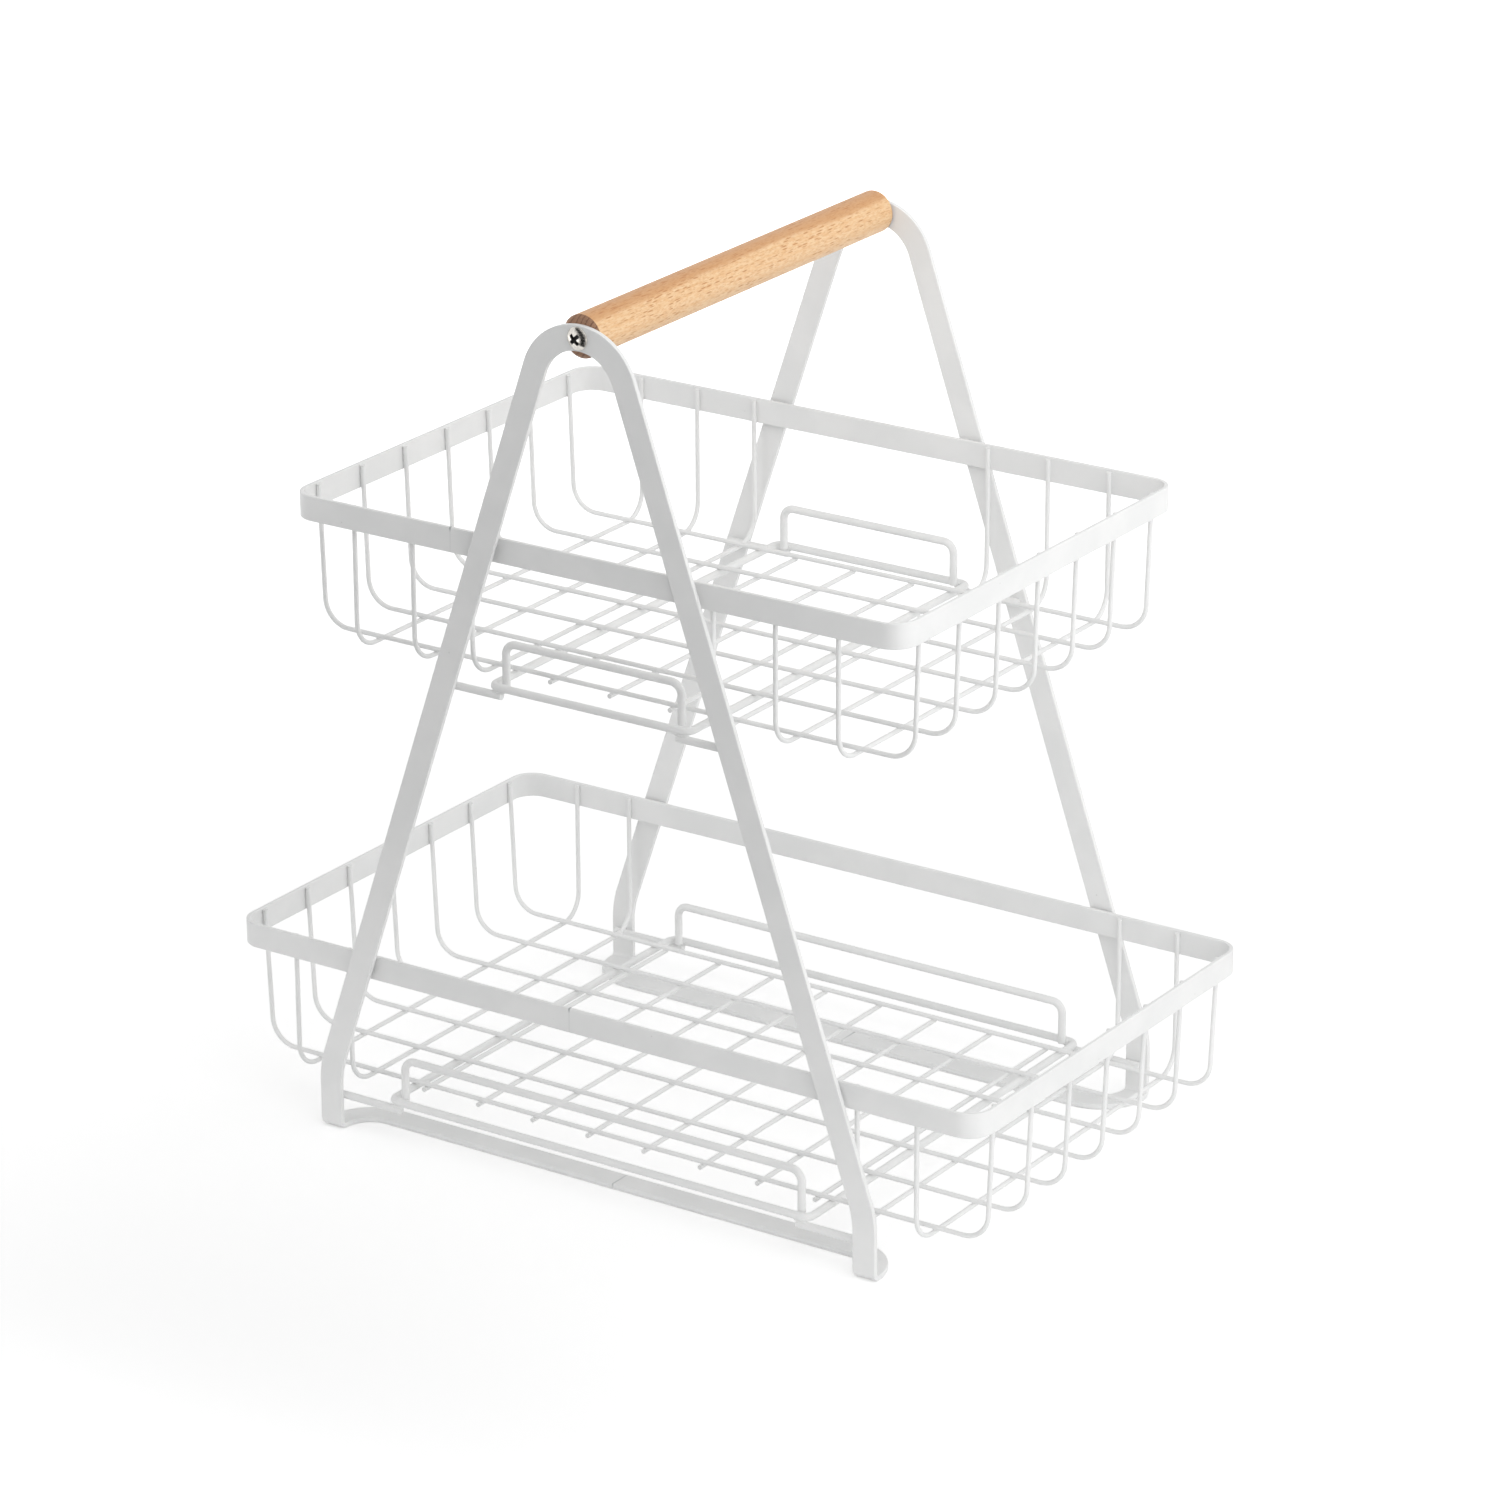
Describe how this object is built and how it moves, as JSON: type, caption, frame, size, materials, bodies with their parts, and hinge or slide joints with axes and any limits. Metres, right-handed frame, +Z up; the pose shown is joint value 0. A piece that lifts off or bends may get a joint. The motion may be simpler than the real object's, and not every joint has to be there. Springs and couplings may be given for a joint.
{
  "type": "tiered wire basket",
  "caption": "Free-standing carrying rack with a wooden handle and loose wire baskets on an upper and a lower tier, each lifting out over a low hoop.",
  "frame": {"origin": "on the table, at the middle of the space between the feet", "axes": "+X along the baskets' long side, +Y along the handle from the front side frame to the back one, +Z up"},
  "size_m": [0.41, 0.247, 0.422],
  "materials": {
    "white_coat": "satin powder coat",
    "beech": "oiled",
    "screw_nickel": "nickel plated"
  },
  "bodies": {
    "rack": {"side_frame_front": "white_coat", "side_frame_back": "white_coat", "handle": "beech", "handle_screws": "screw_nickel", "upper_carrier_ring": "white_coat", "upper_hoop_front": "white_coat", "upper_hoop_back": "white_coat", "upper_arm_front_left": "white_coat", "upper_arm_front_right": "white_coat", "upper_arm_back_left": "white_coat", "upper_arm_back_right": "white_coat", "lower_carrier_ring": "white_coat", "lower_hoop_front": "white_coat", "lower_hoop_back": "white_coat", "lower_arm_front_left": "white_coat", "lower_arm_front_right": "white_coat", "lower_arm_back_left": "white_coat", "lower_arm_back_right": "white_coat"},
    "upper_basket": {"upper_rim": "white_coat", "upper_long_wire_1": "white_coat", "upper_long_wire_2": "white_coat", "upper_long_wire_3": "white_coat", "upper_long_wire_4": "white_coat", "upper_long_wire_5": "white_coat", "upper_long_wire_6": "white_coat", "upper_long_wire_7": "white_coat", "upper_wall_wire_1": "white_coat", "upper_wall_wire_2": "white_coat", "upper_wall_wire_3": "white_coat", "upper_wall_wire_4": "white_coat", "upper_wall_wire_5": "white_coat", "upper_wall_wire_6": "white_coat", "upper_floor_wire_1": "white_coat", "upper_floor_wire_2": "white_coat", "upper_floor_wire_3": "white_coat"},
    "lower_basket": {"lower_rim": "white_coat", "lower_long_wire_1": "white_coat", "lower_long_wire_2": "white_coat", "lower_long_wire_3": "white_coat", "lower_long_wire_4": "white_coat", "lower_long_wire_5": "white_coat", "lower_long_wire_6": "white_coat", "lower_long_wire_7": "white_coat", "lower_wall_wire_1": "white_coat", "lower_wall_wire_2": "white_coat", "lower_wall_wire_3": "white_coat", "lower_wall_wire_4": "white_coat", "lower_floor_wire_1": "white_coat", "lower_floor_wire_2": "white_coat", "lower_floor_wire_3": "white_coat", "lower_floor_wire_4": "white_coat", "lower_floor_wire_5": "white_coat", "lower_floor_wire_6": "white_coat", "lower_floor_wire_7": "white_coat", "lower_floor_wire_8": "white_coat"}
  },
  "joints": [
    {"name": "upper_basket_lift", "type": "slide", "parent": "rack", "child": "upper_basket", "axis": [0, 0, 1], "range_m": [0, 0.085]},
    {"name": "lower_basket_lift", "type": "slide", "parent": "rack", "child": "lower_basket", "axis": [0, 0, 1], "range_m": [0, 0.13]}
  ]
}
